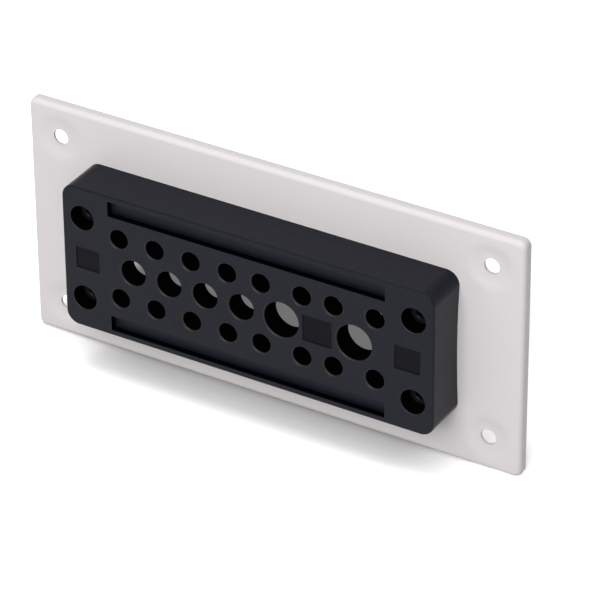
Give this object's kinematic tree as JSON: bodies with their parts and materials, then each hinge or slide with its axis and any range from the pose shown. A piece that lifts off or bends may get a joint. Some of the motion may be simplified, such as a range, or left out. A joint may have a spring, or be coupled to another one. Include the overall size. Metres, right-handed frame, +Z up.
{
  "type": "cable entry plate",
  "caption": "Cable entry plate: a moulded block with rows of plain round cable holes, screwed to a dished metal adapter plate with corner fixing holes.",
  "frame": {"origin": "amid the four corner holes, in the plane at the rear of their dimples, 2.5 mm in front of the enclosure wall", "axes": "+Z up, +X to the right seen from the front, the block faces -Y and the wall is at +Y"},
  "size_m": [0.194, 0.0225, 0.0924],
  "materials": {
    "plate": "light grey powder coat, satin",
    "block": "black moulded polyamide, satin",
    "block_seal": "black moulded elastomer, matt",
    "panel_seal": "dark closed-cell foam sheet, matt",
    "screw": "black oxide",
    "nut": "zinc plated"
  },
  "bodies": {
    "root": {"adapter_plate": "plate", "entry_block": "block", "block_seal": "block_seal", "panel_seal": "panel_seal", "fixing_screw_1": "screw", "fixing_screw_2": "screw", "fixing_screw_3": "screw", "fixing_screw_4": "screw", "press_nut_1": "nut", "press_nut_2": "nut", "press_nut_3": "nut", "press_nut_4": "nut"}
  },
  "joints": []
}
